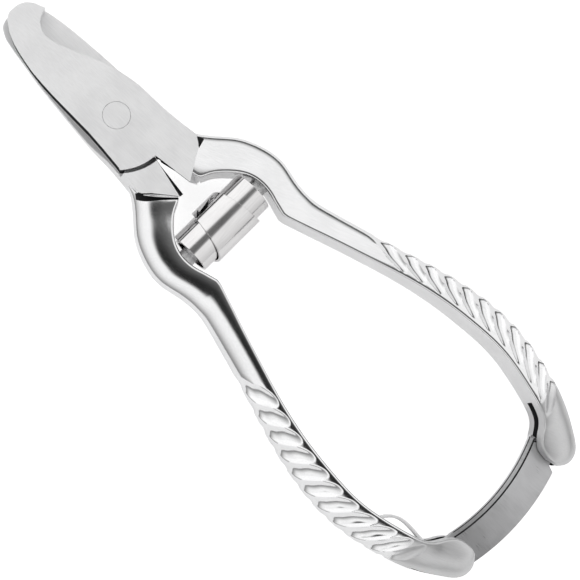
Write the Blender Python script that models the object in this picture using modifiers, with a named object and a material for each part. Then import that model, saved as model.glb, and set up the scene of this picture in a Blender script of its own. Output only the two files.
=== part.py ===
"""A heavy nail nipper: two forged levers in a lap joint, a barrel spring between them, and a catch strap.

Lengths are millimetres and become metres through MM. The blades point along +Y and the handles along -Y, the
pivot axis is +Z through the origin, and z = 0 is the flat back face of the joint. The back lever is drawn in
the front lever's own outline and then turned half a turn about the tool's long axis. The two have the same
handle and joint, but the front one has a hooked blade with a bite and the back one a plain tongue.
"""

import math

import bmesh
import bpy
import numpy as np
from mathutils import Matrix, Vector

MM = 0.001
COLLECTION = "nail_clipper"

# Joint and blades. Heights are counted from the plane where the two levers meet.
JOINT_HALF = 3.4
TAPER_START = 4.0
TAPER_DEGREES = 3.6
TAPER_REACH = 40.0
LAP_GAP = 0.3
PLATE_ARC = 10.75
POCKET_ARC = 11.2
POCKET_CENTRE = (-0.25, -0.45)
SHOULDER_HIGH = (0.2, -11.15)
SHOULDER_LOW = (0.9, -19.1)
SHOULDER_NOTCH = (6.9, -15.3)
STEP_FLOOR = 1.4
RIVET_RADIUS = 2.7
RIVET_CLEARANCE = 0.3

# Handles. Each row is one section across the handle: outer edge x, y, inner edge x, y, then the height of the
# side that faces the same way as the lever's own blade plate and the height of the other side, then for each
# of those sides the exponent that makes it flat (high) or round (low).
SECTIONS = [
    (7.9, -10.8, 2.4, -16.0, 3.3, 3.0, 2.2, 4.0),
    (9.4, -13.4, 2.7, -19.4, 3.3, 3.1, 1.9, 2.1),
    (11.9, -16.4, 4.8, -20.7, 3.3, 3.2, 1.6, 1.8),
    (14.6, -19.7, 7.6, -23.0, 3.3, 3.3, 1.5, 1.7),
    (16.6, -24.4, 9.7, -25.9, 3.4, 3.4, 1.5, 1.7),
    (17.1, -29.0, 10.4, -29.4, 3.4, 3.4, 1.5, 1.7),
    (16.2, -33.6, 9.7, -33.0, 3.5, 3.5, 1.5, 1.65),
    (16.0, -38.2, 8.8, -36.3, 3.7, 3.7, 1.5, 1.5),
    (17.2, -43.4, 10.9, -42.6, 4.0, 4.0, 1.5, 1.3),
    (20.3, -54.1, 14.6, -53.7, 4.5, 4.5, 1.5, 1.3),
    (23.1, -62.9, 17.2, -62.4, 4.9, 4.9, 1.5, 1.3),
    (25.2, -70.7, 18.9, -70.3, 5.0, 5.0, 1.5, 1.3),
    (26.4, -78.4, 19.8, -78.0, 5.0, 5.0, 1.5, 1.3),
    (26.3, -86.5, 19.9, -85.8, 5.0, 5.0, 1.6, 1.3),
    (24.5, -95.0, 18.3, -94.0, 5.1, 5.1, 2.6, 1.3),
    (22.1, -101.6, 16.4, -99.4, 5.2, 5.2, 2.1, 1.8),
    (19.6, -106.0, 14.0, -101.4, 5.2, 5.2, 2.6, 2.4),
    (17.0, -109.2, 12.2, -103.0, 5.1, 5.1, 3.0, 3.0),
    (14.0, -109.8, 11.6, -104.4, 4.9, 4.9, 3.4, 3.4),
    (12.0, -108.4, 11.4, -105.8, 4.6, 4.6, 3.4, 3.4),
]
KNEE_SECTION = 7
EDGE_ROUND = 0.5
FRONT_CROWN = 2.8
BACK_CROWN = 2.0
CROWN_STEPS = 8
PLAIN_STEPS = 2

# Finger grooves: scoops that run inwards and towards the tail across each handle's rounded outer side.
GROOVES = 11
FIRST_GROOVE = 8.45
LAST_GROOVE = 14.15
GROOVE_STEPS = 4
GROOVE_DEPTH = 0.85
GROOVE_END = 0.14
GROOVE_FULL = 0.5
GROOVE_FADE = 0.7
GROOVE_EDGE = 0.75
GROOVE_SLANT = 1.2
SLANT_RAMP = 2.4

# Forked handle ends, the strap that ties them together, and its pins.
SLOT_HALF = 1.45
SLOT_ANGLE = math.radians(-20)
SLOT_REACH = 24.0
CATCH_SLOT_FLOOR = (19.5, -97.2)
HINGE_SLOT_FLOOR = (18.2, -99.8)
STRAP_HALF = 1.1
STRAP_CENTRE = (-1.8, -63.8)
STRAP_INNER = 39.8
STRAP_OUTER = 46.9
HINGE_PIN = (-15.9, -104.9)
CATCH_PIN = (15.3, -103.6)
HINGE_PIN_RADIUS = 1.25
CATCH_PIN_RADIUS = 1.1
PIN_HALF_LENGTH = 3.3
PIN_CLEARANCE = 0.3
HEEL_RADIUS = 3.0

# Barrel spring on its two studs. It lies along X between the necks of the handles.
SPRING_Y = -28.7
SPRING_HALF = 8.8
SPRING_RADIUS = 5.1
SPRING_THICKNESS = 0.55
COIL_PITCH = 0.8
COIL_LEAD = 5.5
COIL_START = -0.34
COIL_TIP = 1.0
COIL_SPLIT = 0.8
COIL_END = 2.1
COIL_STEPS = 28
STUD_RADIUS = 1.8
STUD_COLLAR = 2.1
STUD_COLLAR_HEIGHT = 0.6
STUD_SHANK = 1.2
STUD_TIP = 5.6
STUD_SEAT = 9.7
STUD_DEPTH = 2.3

# Leaf spring that arches out of the back lever's handle and bears on the strap's heel.
LEAF_HALF_WIDTH = 1.1
LEAF_THICKNESS = 0.6

FACETS = 40


# ------------------------------------------------------------------------------------ scene helpers


def clear_scene():
    for obj in list(bpy.data.objects):
        bpy.data.objects.remove(obj, do_unlink=True)


def make_collection(name):
    collection = bpy.data.collections.new(name)
    bpy.context.scene.collection.children.link(collection)
    return collection


def make_material(name, colour, roughness):
    material = bpy.data.materials.new(name)
    material.use_nodes = True
    shader = material.node_tree.nodes["Principled BSDF"]
    shader.inputs["Base Color"].default_value = (*colour, 1.0)
    shader.inputs["Metallic"].default_value = 1.0
    shader.inputs["Roughness"].default_value = roughness
    return material


def add_object(name, mesh, place, collection=COLLECTION):
    """An object placed relative to the tool's middle plane."""
    obj = bpy.data.objects.new(name, mesh)
    bpy.data.collections[collection].objects.link(obj)
    obj.parent = bpy.data.objects["middle_plane"]
    obj.matrix_basis = place
    return obj


def add_cutter(name, mesh, place):
    cutter = add_object(name, mesh, place, "cutters")
    cutter.hide_render = True
    cutter.display_type = "WIRE"
    return cutter


def boolean(obj, cutter, operation):
    modifier = obj.modifiers.new(cutter.name, "BOOLEAN")
    modifier.operation = operation
    modifier.solver = "EXACT"
    modifier.object = cutter


def finish_part(obj, material):
    obj.data.materials.append(bpy.data.materials[material])
    obj.data.shade_smooth()
    obj.data.set_sharp_from_angle(angle=math.radians(30))


# ------------------------------------------------------------------------------------- mesh helpers


def mesh_from_bmesh(name, bm):
    bmesh.ops.recalc_face_normals(bm, faces=bm.faces)
    mesh = bpy.data.meshes.new(name)
    bm.to_mesh(mesh)
    bm.free()
    return mesh


def plate_mesh(name, outline, low, high):
    """A flat plate with this outline, from height low to height high."""
    curve = bpy.data.curves.new(name, "CURVE")
    curve.dimensions = "2D"
    curve.fill_mode = "BOTH"
    curve.extrude = (high - low) / 2 * MM
    spline = curve.splines.new("POLY")
    spline.points.add(len(outline) - 1)
    for point, (x, y) in zip(spline.points, outline):
        point.co = (x * MM, y * MM, 0.0, 1.0)
    spline.use_cyclic_u = True
    helper = bpy.data.objects.new(name, curve)
    bpy.context.scene.collection.objects.link(helper)
    graph = bpy.context.evaluated_depsgraph_get()
    mesh = bpy.data.meshes.new_from_object(helper.evaluated_get(graph))
    bpy.data.objects.remove(helper)
    bm = bmesh.new()
    bm.from_mesh(mesh)
    bmesh.ops.remove_doubles(bm, verts=bm.verts, dist=0.00001)
    bmesh.ops.translate(bm, verts=bm.verts, vec=(0.0, 0.0, (low + high) / 2 * MM))
    bm.to_mesh(mesh)
    bm.free()
    mesh.name = name
    return mesh


def cylinder_mesh(name, radius, low, high, facets=FACETS):
    """A cylinder along Z from height low to height high."""
    bm = bmesh.new()
    place = Matrix.Translation((0.0, 0.0, (low + high) / 2 * MM))
    bmesh.ops.create_cone(
        bm,
        cap_ends=True,
        segments=facets,
        radius1=radius * MM,
        radius2=radius * MM,
        depth=(high - low) * MM,
        matrix=place,
    )
    return mesh_from_bmesh(name, bm)


def box_mesh(name, size):
    bm = bmesh.new()
    bmesh.ops.create_cube(bm, size=1.0, matrix=Matrix.Diagonal((*(v * MM for v in size), 1.0)))
    return mesh_from_bmesh(name, bm)


def lofted_mesh(name, rings):
    """A closed body through rings of equal length, with a flat cap on the first and the last."""
    bm = bmesh.new()
    loops = [[bm.verts.new(Vector(point) * MM) for point in ring] for ring in rings]
    for ring, after in zip(loops, loops[1:]):
        for i, vertex in enumerate(ring):
            j = (i + 1) % len(ring)
            bm.faces.new((vertex, ring[j], after[j], after[i]))
    bm.faces.new(reversed(loops[0]))
    bm.faces.new(loops[-1])
    return mesh_from_bmesh(name, bm)


def arc(centre, radius, start, end, steps):
    """Points along an arc, with its angles in degrees."""
    angles = np.radians(np.linspace(start, end, steps + 1))
    return [(centre[0] + radius * math.cos(a), centre[1] + radius * math.sin(a)) for a in angles]


def smooth(rows, t):
    """A Catmull-Rom curve through rows, where t = 0 is the first row and t = 1 the second."""
    last = len(rows) - 1
    i = int(min(max(math.floor(t), 0), last - 1))
    f = t - i
    before, here, there, after = (np.array(rows[min(max(k, 0), last)]) for k in (i - 1, i, i + 1, i + 2))
    start = (there - before) / 2
    end = (after - here) / 2
    return (
        (2 * f**3 - 3 * f**2 + 1) * here
        + (f**3 - 2 * f**2 + f) * start
        + (3 * f**2 - 2 * f**3) * there
        + (f**3 - f**2) * end
    )


def ramp(value):
    """0 below 0 and 1 above 1, with a smooth step between."""
    value = min(max(value, 0.0), 1.0)
    return value * value * (3 - 2 * value)


# ------------------------------------------------------------------------------------------- levers


def front_blade():
    """The front lever's hooked blade, from its flank round the bite, the hook and the tip to its spine."""
    flank = [(8.5, -13.8), (8.15, -11.5), (7.85, -8.9), (7.55, -5.4), (7.45, -1.6), (7.25, 2.1), (6.5, 6.3)]
    bite = [(5.3, 9.9), (4.15, 12.6), (3.05, 15.3), (2.0, 18.1), (1.5, 20.4), (1.75, 21.9)]
    hook = [(2.6, 23.3), (3.7, 24.2), (5.5, 24.9), (5.15, 25.6)]
    tip = [(4.6, 27.0), (3.6, 28.2), (2.3, 28.9), (0.9, 29.05), (-0.4, 28.9), (-1.7, 27.9)]
    spine = [(-2.9, 26.1), (-4.0, 23.6), (-4.9, 20.0), (-5.6, 15.9), (-5.95, 11.0), (-6.1, 6.1), (-6.2, 1.3)]
    heel = [(-6.5, -2.6), (-7.0, -7.6)]
    return [*flank, *bite, *hook, *tip, *spine, *heel]


def back_blade():
    """The back lever's plain tongue-shaped blade, in that lever's own outline."""
    flank = [(8.5, -13.8), (8.15, -11.5), (7.85, -8.9), (7.55, -5.4), (7.45, -1.6), (7.2, 2.1), (6.8, 6.3)]
    edge = [(6.4, 10.0), (6.05, 13.5), (5.6, 17.0), (5.0, 20.5), (4.5, 23.7), (3.9, 26.4)]
    tip = [(2.9, 28.1), (1.3, 28.9), (-0.6, 28.9), (-2.4, 28.4), (-3.9, 27.4), (-5.0, 25.8)]
    spine = [(-5.5, 24.5), (-6.2, 20.5), (-6.7, 15.3), (-7.0, 11.0), (-7.2, 6.0), (-7.2, 1.0)]
    heel = [(-7.1, -3.5), (-7.0, -7.6)]
    return [*flank, *edge, *tip, *spine, *heel]


def plate_outline(blade):
    """A lever's blade and shoulder, counter-clockwise from the shoulder's low corner."""
    lap = arc((0.0, 0.0), PLATE_ARC, 228, 268, 10)
    return [SHOULDER_LOW, SHOULDER_NOTCH, *blade, *lap, SHOULDER_HIGH]


def pocket_outline():
    """What the other lever's blade plate needs cleared away from the back half of this one."""
    reach = 45.0
    seat = arc(POCKET_CENTRE, POCKET_ARC, 271, 317, 10)
    low = seat[0][1]
    return [(-reach, low), (seat[0][0], low), *seat, (reach, seat[-1][1]), (reach, reach), (-reach, reach)]


def crown(width, height, exponent):
    """One face of a section, from the flat inner side at distance 0 over the crown to the outer edge."""
    quarter = np.linspace(0.0, math.pi / 2, CROWN_STEPS + 1)
    across = EDGE_ROUND + (width - EDGE_ROUND) * np.sin(quarter) ** (2 / exponent)
    heights = height * np.cos(quarter) ** (2 / (FRONT_CROWN if height > 0 else BACK_CROWN))
    inner_side = np.array([[0.0, height - math.copysign(EDGE_ROUND, height)]])
    return np.vstack([inner_side, np.column_stack([across, heights])])


def section_profile(width, front, back, front_exponent, back_exponent, turn):
    """One handle section as (distance from the inner edge, height), counter-clockwise from the front face."""
    upper = crown(width, front, front_exponent)
    lower = crown(width, -back, back_exponent)
    ring = np.vstack([upper, lower[-2::-1]])
    return [scooped(a, z, a / width, turn) for a, z in ring]


def scooped(across, height, share, turn):
    """The section point pushed in by a groove: straight down on the faces, inwards at the outer edge."""
    depth = groove_depth(share, turn)
    outward = share**8
    return across - depth * outward, height - math.copysign(depth * (1 - outward), height)


def groove_depth(share, turn):
    """A scoop's depth at this share of the width. Turn is the place across it, from -1 to 1, or None."""
    if turn is None:
        return 0.0
    short = min(max((GROOVE_FULL - share) / (GROOVE_FULL - GROOVE_END), 0.0), 1.0)
    beyond = max((share - GROOVE_FADE) / (1 - GROOVE_FADE), 0.0)
    room = 1 - short * short - GROOVE_EDGE * beyond * beyond
    return GROOVE_DEPTH * max(room - turn * turn, 0.0)


def section_place(t):
    """The outer edge, the inner edge and the profile values of the handle at t along SECTIONS."""
    row = smooth(SECTIONS, t)
    if abs(t - KNEE_SECTION) < 1:
        row[2:4] = knee_edge(t)
    return row


def knee_edge(t):
    """The inner edge near the knee, where two straight runs meet in a corner."""
    corner = np.array(SECTIONS[KNEE_SECTION][2:4])
    side = 1 if t > KNEE_SECTION else -1
    beyond = smooth(SECTIONS, KNEE_SECTION + side)[2:4]
    return corner + (beyond - corner) * abs(t - KNEE_SECTION)


def groove_turn(t):
    """Where section t lies across its groove, from -1 to 1, or None beyond the grooves."""
    turns = (t - FIRST_GROOVE) / (LAST_GROOVE - FIRST_GROOVE) * GROOVES
    if not 0 < turns < GROOVES:
        return None
    return 2 * (turns % 1.0) - 1


def slant(t):
    """How far the inner edge lags behind the outer edge, in rows of SECTIONS."""
    rise = ramp((t - FIRST_GROOVE + SLANT_RAMP) / SLANT_RAMP)
    fall = ramp((LAST_GROOVE + SLANT_RAMP - t) / SLANT_RAMP)
    return GROOVE_SLANT * rise * fall


def groove_lag(share, height):
    """How far a section lags here: more towards the inner edge, and less steeply on the back."""
    back = 0.5 - height / 10.0
    return (1 - share) * (1 - 0.375 * back) + 0.3 * back


def section_ring(t):
    """The points of one section, slanted so that the grooves follow the mesh."""
    row = section_place(t)
    width = np.linalg.norm(row[0:2] - row[2:4])
    ring = []
    for across, height in section_profile(width, *row[4:8], groove_turn(t)):
        share = across / width
        here = section_place(t + slant(t) * groove_lag(share, height))
        x, y = here[2:4] + (here[0:2] - here[2:4]) * share
        ring.append((x, y, height))
    return ring


def section_steps():
    """Where sections are cut: evenly along the plain stretches, and a fixed number for each groove."""
    neck = np.linspace(0.0, FIRST_GROOVE, round(FIRST_GROOVE * PLAIN_STEPS) + 1)
    grooves = np.linspace(FIRST_GROOVE, LAST_GROOVE, GROOVES * GROOVE_STEPS + 1)
    end = len(SECTIONS) - 1
    bulb = np.linspace(LAST_GROOVE, end, round((end - LAST_GROOVE) * PLAIN_STEPS) + 1)
    return [*neck, *grooves[1:], *bulb[1:]]


def taper_place():
    """Where the lower face of a block lies so that it grinds a plate thinner towards the blade's tip."""
    low_edge = Vector((0.0, TAPER_START, JOINT_HALF)) * MM
    lean = Matrix.Rotation(math.radians(-TAPER_DEGREES), 4, "X")
    to_corner = Vector((0.0, TAPER_REACH, TAPER_REACH)) / 2 * MM
    return Matrix.Translation(low_edge) @ lean @ Matrix.Translation(to_corner)


def facet_step_outline():
    """The wedge-shaped step between the shoulder's flush facet and the neck."""
    neck = [(3.1, -20.0), (5.33, -17.9), (7.01, -16.4), (8.3, -14.9), (9.2, -12.9)]
    side = [(11.0, -12.7), (11.0, -12.2)]
    facet = [(8.4, -12.2), (7.67, -13.5), (6.92, -14.9), (5.57, -16.7), (4.05, -18.4), (2.5, -20.1)]
    return [*neck, *side, *facet]


def lever_cutters(name, blade, slot_floor, pin, pin_radius):
    """(label, mesh, place, operation) for each body added to or taken from a lever's handle, in order."""
    here = Matrix()
    deep = 2 * JOINT_HALF
    hole = PIN_HALF_LENGTH + PIN_CLEARANCE
    slot_turn = Matrix.Rotation(SLOT_ANGLE, 4, "Z")
    slot_centre = Vector((*slot_floor, 0.0)) + slot_turn @ Vector((0.0, -SLOT_REACH / 2, 0.0))
    slot_place = Matrix.Translation(slot_centre * MM) @ slot_turn
    pin_place = Matrix.Translation(Vector((*pin, 0.0)) * MM)
    bore_radius = RIVET_RADIUS + RIVET_CLEARANCE
    seat = (STUD_SEAT - 4.0, STUD_SEAT + STUD_DEPTH + PIN_CLEARANCE)
    return [
        ("blade", plate_mesh(name, plate_outline(blade), -JOINT_HALF, JOINT_HALF), here, "UNION"),
        ("taper", box_mesh(name, (TAPER_REACH,) * 3), taper_place(), "DIFFERENCE"),
        ("pocket", plate_mesh(name, pocket_outline(), -deep, LAP_GAP / 2), here, "DIFFERENCE"),
        ("step", plate_mesh(name, facet_step_outline(), -deep, -STEP_FLOOR), here, "DIFFERENCE"),
        ("bore", cylinder_mesh(name, bore_radius, -deep, deep), here, "DIFFERENCE"),
        ("slot", box_mesh(name, (SLOT_REACH, SLOT_REACH, 2 * SLOT_HALF)), slot_place, "DIFFERENCE"),
        ("pin_hole", cylinder_mesh(name, pin_radius + PIN_CLEARANCE, -hole, hole), pin_place, "DIFFERENCE"),
        ("stud_hole", cylinder_mesh(name, STUD_SHANK + PIN_CLEARANCE, *seat), along_x(), "DIFFERENCE"),
    ]


def make_lever(name, place, blade, slot_floor, pin, pin_radius):
    """A lever in the front lever's own outline, then placed. The back lever's place is the half turn."""
    lever = add_object(name, lofted_mesh(name, [section_ring(t) for t in section_steps()]), place)
    for label, mesh, at, operation in lever_cutters(name, blade, slot_floor, pin, pin_radius):
        boolean(lever, add_cutter(f"{name}_{label}", mesh, place @ at), operation)
    finish_part(lever, "polished_steel")


def cut_leaf_pocket(place):
    mesh = plate_mesh("leaf_pocket", leaf_pocket_outline(), -SLOT_HALF, SLOT_HALF)
    boolean(bpy.data.objects["back_lever"], add_cutter("leaf_pocket", mesh, place), "DIFFERENCE")


def along_x():
    """Turns a shape drawn along +Z so that it runs along +X through the barrel spring."""
    return Matrix.Translation((0.0, SPRING_Y * MM, 0.0)) @ Matrix.Rotation(math.pi / 2, 4, "Y")


# ---------------------------------------------------------------------------- rivet, studs and pins


def turned_object(name, profile, place, material, steps=FACETS):
    """A shape of revolution about Z. The profile is (radius, height) from its top to its bottom."""
    mesh = bpy.data.meshes.new(name)
    points = [(radius * MM, 0.0, height * MM) for radius, height in profile]
    mesh.from_pydata(points, [(i, i + 1) for i in range(len(points) - 1)], [])
    obj = add_object(name, mesh, place)
    screw = obj.modifiers.new("turn", "SCREW")
    screw.steps = steps
    screw.render_steps = steps
    screw.use_merge_vertices = True
    screw.merge_threshold = 0.00001
    finish_part(obj, material)
    return obj


def make_pivot_rivet():
    """Its two ends are ground flush with the flat faces of the joint."""
    top = JOINT_HALF
    profile = [(0.0, top), (RIVET_RADIUS, top), (RIVET_RADIUS, -top), (0.0, -top)]
    turned_object("pivot_rivet", profile, Matrix(), "satin_steel")


def make_spring_stud(name, turn):
    """A stepped stud: a shank in the neck's blind hole, a collar, and a nose inside the barrel spring."""
    shank_end = STUD_SEAT + STUD_DEPTH
    collar_face = STUD_SEAT - STUD_COLLAR_HEIGHT
    profile = [
        (0.0, shank_end),
        (STUD_SHANK, shank_end),
        (STUD_SHANK, STUD_SEAT),
        (STUD_COLLAR, STUD_SEAT),
        (STUD_COLLAR, collar_face),
        (STUD_RADIUS, collar_face),
        (STUD_RADIUS, STUD_TIP + 0.4),
        (STUD_RADIUS - 0.4, STUD_TIP),
        (0.0, STUD_TIP),
    ]
    turned_object(name, profile, turn @ along_x(), "satin_steel", 24)


def make_pin(name, centre, radius):
    """A short pin across a forked handle end, held in a blind hole in each cheek."""
    top = PIN_HALF_LENGTH
    profile = [(0.0, top), (radius, top), (radius, -top), (0.0, -top)]
    turned_object(name, profile, Matrix.Translation(Vector((*centre, 0.0)) * MM), "satin_steel", 24)


# ------------------------------------------------------------------------------------ barrel spring


def coil_edges(turn):
    """How far from the middle one arm of the V-shaped strip starts and ends, at this many turns."""
    outer = min(SPRING_HALF, COIL_LEAD * (turn - COIL_START) + COIL_TIP)
    inner = max(0.0, COIL_LEAD * (turn - COIL_SPLIT))
    return min(inner, outer - 0.4), outer


def coil_section(turn):
    """The four corners of the strip's section at this many turns, wound about X."""
    radius = SPRING_RADIUS - COIL_PITCH * turn
    angle = math.tau * turn + math.pi / 2
    ring = []
    inner, outer = coil_edges(turn)
    half = SPRING_THICKNESS / 2
    low = radius - half
    high = radius + half
    for along, r in ((inner, low), (outer, low), (outer, high), (inner, high)):
        ring.append(Vector((along, r * math.sin(angle), -r * math.cos(angle))) * MM)
    return ring


def half_coil_mesh(name):
    """One half of the double volute: the strip is open at x = 0 until the arms of its V part."""
    bm = bmesh.new()
    count = round((COIL_END - COIL_START) * COIL_STEPS)
    turns = np.linspace(COIL_START, COIL_END, count + 1)
    loops = [[bm.verts.new(point) for point in coil_section(t)] for t in turns]
    for ring, after in zip(loops, loops[1:]):
        sides = 4 if after[0].co.x > 0 else 3
        for i in range(sides):
            j = (i + 1) % 4
            bm.faces.new((ring[i], ring[j], after[j], after[i]))
    bm.faces.new(loops[0])
    bm.faces.new(reversed(loops[-1]))
    return mesh_from_bmesh(name, bm)


def make_buffer_spring():
    place = Matrix.Translation((0.0, SPRING_Y * MM, 0.0))
    spring = add_object("buffer_spring", half_coil_mesh("buffer_spring"), place)
    mirror = spring.modifiers.new("other_half", "MIRROR")
    mirror.merge_threshold = 0.00001
    finish_part(spring, "satin_steel")


# -------------------------------------------------------------------------------------- catch strap


def strap_outline():
    """The strap, from its rounded heel on the hinge pin to the notch that hooks on the catch pin."""
    heel = arc(HINGE_PIN, HEEL_RADIUS, 75, 285, 10)
    outer = arc(STRAP_CENTRE, STRAP_OUTER, 256.5, 285.5, 12)
    inner = arc(STRAP_CENTRE, STRAP_INNER, 292.0, 255.5, 14)
    x, y = CATCH_PIN
    seat = arc(CATCH_PIN, CATCH_PIN_RADIUS + PIN_CLEARANCE, -40, -175, 8)
    end = [(11.3, -107.5), (13.2, -107.3), (17.5, -105.9), (x + 3.5, y + 0.4), (x + 3.0, y + 1.4)]
    return [*heel, *outer, *end, *seat, *inner]


def make_catch_strap():
    """A flat arched plate in the tool's middle plane. Its origin is on the hinge pin that it swings about."""
    hinge = Vector((*HINGE_PIN, 0.0)) * MM
    mesh = plate_mesh("catch_strap", strap_outline(), -STRAP_HALF, STRAP_HALF)
    mesh.transform(Matrix.Translation(-hinge))
    strap = add_object("catch_strap", mesh, Matrix.Translation(hinge))
    hole = cylinder_mesh("strap_eye", HINGE_PIN_RADIUS + PIN_CLEARANCE, -3.0, 3.0, 24)
    boolean(strap, add_cutter("strap_eye", hole, Matrix.Translation(hinge)), "DIFFERENCE")
    finish_part(strap, "brushed_steel")


def leaf_path():
    """The leaf spring's middle line in the back lever's handle, from its arch down to the strap's heel."""
    return [(-21.2, -89.2), (-19.2, -90.3), (-17.4, -91.8), (-16.5, -94.3), (-16.6, -97.6), (-16.8, -101.2)]


def leaf_pocket_outline():
    """The trough in the back lever that holds the leaf spring's root, in the front lever's own outline."""
    floor = [(22.0, -90.4), (19.9, -92.6), (19.6, -97.5), (18.6, -101.0)]
    return [(14.0, -88.4), (22.0, -88.4), *floor, (14.0, -101.0)]


def make_catch_spring():
    """A narrow leaf spring, drawn as a curve along its middle line and thickened."""
    rows = leaf_path()
    steps = np.linspace(0, len(rows) - 1, 5 * (len(rows) - 1) + 1)
    line = [smooth(rows, t) for t in steps]
    mesh = bpy.data.meshes.new("catch_spring")
    low = [(x * MM, y * MM, -LEAF_HALF_WIDTH * MM) for x, y in line]
    high = [(x * MM, y * MM, LEAF_HALF_WIDTH * MM) for x, y in line]
    count = len(line)
    faces = [(i, i + 1, count + i + 1, count + i) for i in range(count - 1)]
    mesh.from_pydata(low + high, [], faces)
    leaf = add_object("catch_spring", mesh, Matrix())
    shell = leaf.modifiers.new("thickness", "SOLIDIFY")
    shell.thickness = LEAF_THICKNESS * MM
    shell.offset = 0.0
    shell.use_even_offset = True
    finish_part(leaf, "satin_steel")


# --------------------------------------------------------------------------------------------- tool


def make_materials():
    make_material("polished_steel", (0.78, 0.78, 0.79), 0.12)
    make_material("satin_steel", (0.66, 0.66, 0.67), 0.3)
    make_material("brushed_steel", (0.55, 0.55, 0.56), 0.4)


def main():
    clear_scene()
    make_collection(COLLECTION)
    make_collection("cutters")
    make_materials()
    middle = bpy.data.objects.new("middle_plane", None)
    middle.location.z = JOINT_HALF * MM
    bpy.data.collections[COLLECTION].objects.link(middle)
    half_turn = Matrix.Rotation(math.pi, 4, "Y")
    hinge_in_lever = (-HINGE_PIN[0], HINGE_PIN[1])
    make_lever("front_lever", Matrix(), front_blade(), CATCH_SLOT_FLOOR, CATCH_PIN, CATCH_PIN_RADIUS)
    make_lever("back_lever", half_turn, back_blade(), HINGE_SLOT_FLOOR, hinge_in_lever, HINGE_PIN_RADIUS)
    cut_leaf_pocket(half_turn)
    make_pivot_rivet()
    make_spring_stud("front_spring_stud", Matrix())
    make_spring_stud("back_spring_stud", half_turn)
    make_buffer_spring()
    make_pin("strap_hinge_pin", HINGE_PIN, HINGE_PIN_RADIUS)
    make_pin("catch_pin", CATCH_PIN, CATCH_PIN_RADIUS)
    make_catch_strap()
    make_catch_spring()


main()
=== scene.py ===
"""A heavy nail nipper in polished steel: detailed pieces over the CAD frame, on a pale sheet in a white tent.

Lengths are millimetres and become metres through MM. The blades point along +Y and the handles along -Y, the
pivot axis is +Z through the origin, and z = 0 is the flat back face of the joint. The back lever is drawn in
the front lever's own outline and then turned half a turn about the tool's long axis. The two have the same
handle and joint, but the front one has a hooked blade with a bite and the back one a plain tongue.
"""

import math

import bmesh
import bpy
import numpy as np
from mathutils import Matrix, Vector

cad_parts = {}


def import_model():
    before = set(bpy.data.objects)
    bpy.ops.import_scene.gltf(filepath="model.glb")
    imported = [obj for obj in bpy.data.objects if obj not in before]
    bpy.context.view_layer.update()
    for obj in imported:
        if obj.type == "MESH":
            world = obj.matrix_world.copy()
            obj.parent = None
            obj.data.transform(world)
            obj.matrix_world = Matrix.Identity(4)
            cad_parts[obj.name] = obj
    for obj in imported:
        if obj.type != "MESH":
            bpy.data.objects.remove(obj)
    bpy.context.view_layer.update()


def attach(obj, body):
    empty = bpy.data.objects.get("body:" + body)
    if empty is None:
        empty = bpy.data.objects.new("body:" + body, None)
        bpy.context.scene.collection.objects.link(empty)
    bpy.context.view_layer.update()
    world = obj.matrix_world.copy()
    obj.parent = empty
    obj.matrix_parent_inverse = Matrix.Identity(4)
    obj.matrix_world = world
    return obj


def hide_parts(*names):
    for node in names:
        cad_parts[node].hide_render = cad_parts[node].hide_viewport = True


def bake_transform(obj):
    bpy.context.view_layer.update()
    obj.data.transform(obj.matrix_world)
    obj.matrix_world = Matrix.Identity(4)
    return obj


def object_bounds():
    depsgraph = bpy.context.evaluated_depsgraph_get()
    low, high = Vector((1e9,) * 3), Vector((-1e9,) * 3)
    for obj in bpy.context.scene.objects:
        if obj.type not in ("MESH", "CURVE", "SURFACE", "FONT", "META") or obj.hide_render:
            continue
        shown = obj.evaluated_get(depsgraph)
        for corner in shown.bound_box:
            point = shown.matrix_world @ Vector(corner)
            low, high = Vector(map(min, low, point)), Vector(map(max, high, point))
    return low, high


MM = 0.001

# A lever's material slots, in order: its polished and its satin finish, then a near-black steel that is
# painted dark reflection and painted shade on some walls.
POLISHED = 0
SATIN = 1
PAINTED_SHADE_AND_REFLECTION = 2

# Joint and blades. Heights are counted from the plane where the two levers meet. A draft is how far the
# blade plate's lower rim is moved sideways from its upper one.
JOINT_HALF = 3.4
TAPER_START = 0.0
TAPER_BLEND = 8.0
TAPER_SLOPE = 0.063
TAPER_END = 30.0
TAPER_CUT = 1.5
LAP_GAP = 0.3
PLATE_ARC = 10.75
PLATE_ARC_ANGLES = (228, 268)
POCKET_ARC = 11.2
POCKET_ARC_ANGLES = (271, 317)
POCKET_REACH = 45.0
POCKET_CENTRE = (-0.25, -0.45)
SHOULDER_HIGH = (-0.25, -11.15)
SHOULDER_LOW = (0.75, -19.1)
SHOULDER_DRAFT = (1.8, -0.6)
SHOULDER_NOTCH = (6.9, -15.3)
SHOULDER_HIGH_DRAFT = (0.8, 0.0)
OUTER_DRAFT = 0.8
OUTER_DRAFT_START = 1.0
OUTER_DRAFT_LENGTH = 6.0
OUTER_FLANK = 6
OUTLINE_STEPS = 5
NOTCH = [(8.2, -13.5), (6.9, -15.5), (8.9, -14.9), (9.8, -13.2)]
NOTCH_DEPTH = 1.5
STEP_FLOOR = 1.4
RIVET_RADIUS = 2.7
HAIRLINE = 0.03
RIM = 0.14

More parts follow.
